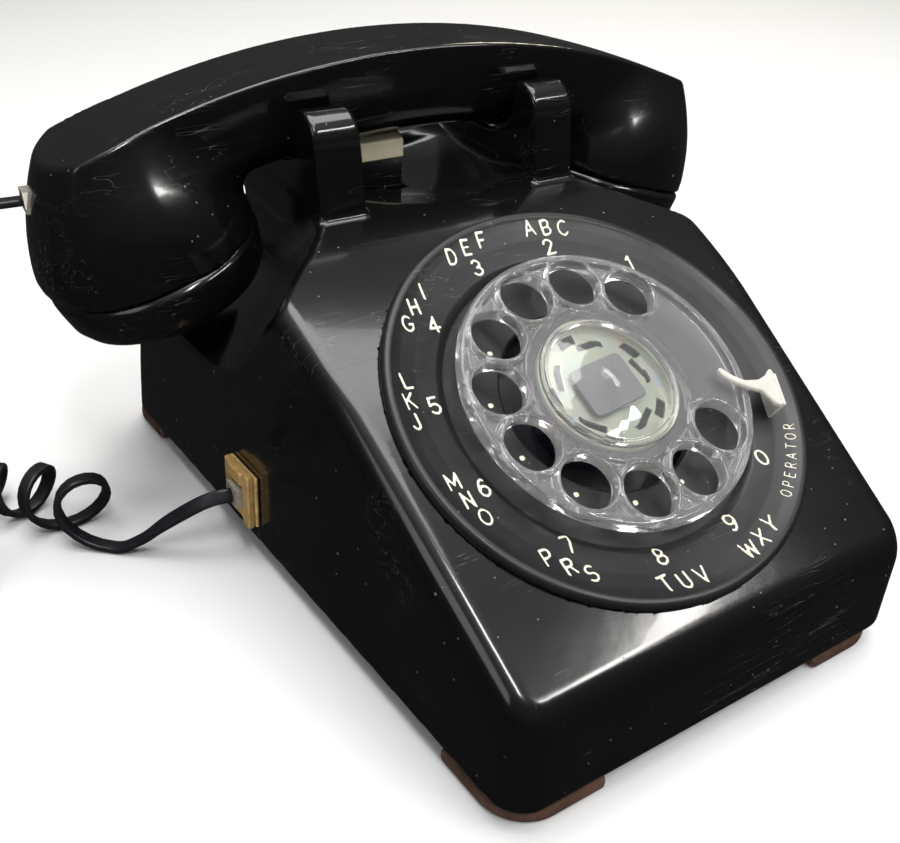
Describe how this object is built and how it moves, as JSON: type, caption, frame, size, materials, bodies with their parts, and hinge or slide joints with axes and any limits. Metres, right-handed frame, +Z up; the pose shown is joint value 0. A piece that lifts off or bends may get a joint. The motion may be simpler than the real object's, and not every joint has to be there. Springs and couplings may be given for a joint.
{
  "type": "rotary dial telephone",
  "caption": "Black desk telephone with a clear finger wheel on a sloping face, a handset across its cradle and a curly cord.",
  "frame": {"origin": "on the table under the middle of the telephone, without its cord", "axes": "+X to the telephone's right as seen from the front, +Y to the back, +Z up"},
  "size_m": [0.3177, 0.222, 0.1363],
  "materials": {
    "black_plastic": "deep black polished moulding with dust, fine scratches and rubbed edges",
    "plate_black": "satin black number plate with ivory print",
    "clear_plastic": "clear slightly pink acrylic, fingerprinted, bright polished rims",
    "stop_steel": "polished stamped steel",
    "hub_metal": "dull zinc with a cream cast",
    "card_grey": "grey card",
    "steel": "zinc plated sheet",
    "screw_steel": "plated screw",
    "spring_steel": "blued spring steel",
    "nickel_silver": "nickel silver leaf",
    "gear_brass": "cut brass",
    "gong_brass": "plated bell metal",
    "cast_frame": "die casting",
    "unit_metal": "spun aluminium capsule",
    "dark_fibre": "dark moulded fibre",
    "block_grey": "potted block",
    "board_fibre": "laminated board",
    "coil_red": "varnished tape",
    "ivory_plastic": "yellowed ivory moulding",
    "amber_plastic": "translucent amber moulding, dirty edges",
    "foot_brown": "brown leathery rubber, two tones",
    "cord_vinyl": "black vinyl, satin sheen"
  },
  "bodies": {
    "base": {"housing": "black_plastic", "number_plate": "plate_black", "finger_stop": "stop_steel", "dial_frame": "cast_frame", "governor_cup": "cast_frame", "pulse_springs": "nickel_silver", "motor_spring": "spring_steel", "network_block": "block_grey", "terminal_board": "board_fibre", "terminal_screws": "screw_steel", "ringer_frame": "steel", "gong_front": "gong_brass", "gong_back": "gong_brass", "gong_screws": "screw_steel", "ringer_coil": "coil_red", "volume_pin": "steel", "switch_bracket": "steel", "switch_contacts": "nickel_silver", "handset_jack": "amber_plastic", "line_jack": "ivory_plastic", "base_plug": "clear_plastic", "base_plate": "steel", "feet": "foot_brown", "housing_screws": "screw_steel", "cord_base_lead": "cord_vinyl", "cord_curl": "cord_vinyl"},
    "dial": {"finger_wheel": "clear_plastic", "centre_window": "clear_plastic", "number_card": "card_grey", "dial_hub": "hub_metal", "dial_shaft": "steel", "main_gear": "gear_brass"},
    "idler": {"idler_gear": "gear_brass", "pulse_cam": "dark_fibre"},
    "governor_rotor": {"governor": "gear_brass"},
    "clapper_arm": {"clapper": "nickel_silver"},
    "loudness": {"volume_wheel": "dark_fibre"},
    "hook_plunger": {"plunger": "ivory_plastic", "plunger_arm": "steel"},
    "handset": {"handset_shell": "black_plastic", "transmitter_cap": "black_plastic", "receiver_cap": "black_plastic", "transmitter_unit": "unit_metal", "receiver_unit": "unit_metal", "handset_plug": "clear_plastic", "cord_hand_lead": "cord_vinyl"}
  },
  "joints": [
    {"name": "handset_lift", "type": "slide", "parent": "base", "child": "handset", "axis": [0, 0, 1], "range_m": [0, 0.08]},
    {"name": "plunger_rise", "type": "slide", "parent": "base", "child": "hook_plunger", "axis": [0, 0, 1], "range_m": [0, 0.005]},
    {"name": "dial_turn", "type": "hinge", "parent": "base", "child": "dial", "pos_m": [0, -0.0513, 0.0685], "axis": [0, -0.4886, 0.8725], "range_deg": [-330, 0]},
    {"name": "idler_turn", "type": "hinge", "parent": "base", "child": "idler", "pos_m": [-0.02186, -0.04029, 0.07467], "axis": [0, -0.4886, 0.8725], "continuous": true},
    {"name": "governor_turn", "type": "hinge", "parent": "base", "child": "governor_rotor", "pos_m": [-0.03345, -0.05235, 0.06791], "axis": [0, -0.4886, 0.8725], "continuous": true},
    {"name": "clapper_swing", "type": "hinge", "parent": "base", "child": "clapper_arm", "pos_m": [-0.03, 0.055, 0.024], "axis": [0, 0, 1], "range_deg": [-5, 5]},
    {"name": "loudness_turn", "type": "hinge", "parent": "base", "child": "loudness", "pos_m": [0.0687, 0.0475, 0.0119], "axis": [0, 0, 1], "range_deg": [-60, 60]}
  ],
  "couplings": [
    {"joint": "plunger_rise", "follows": "handset_lift", "ratio": 0.0625},
    {"joint": "idler_turn", "follows": "dial_turn", "ratio": -6},
    {"joint": "governor_turn", "follows": "dial_turn", "ratio": 24}
  ]
}
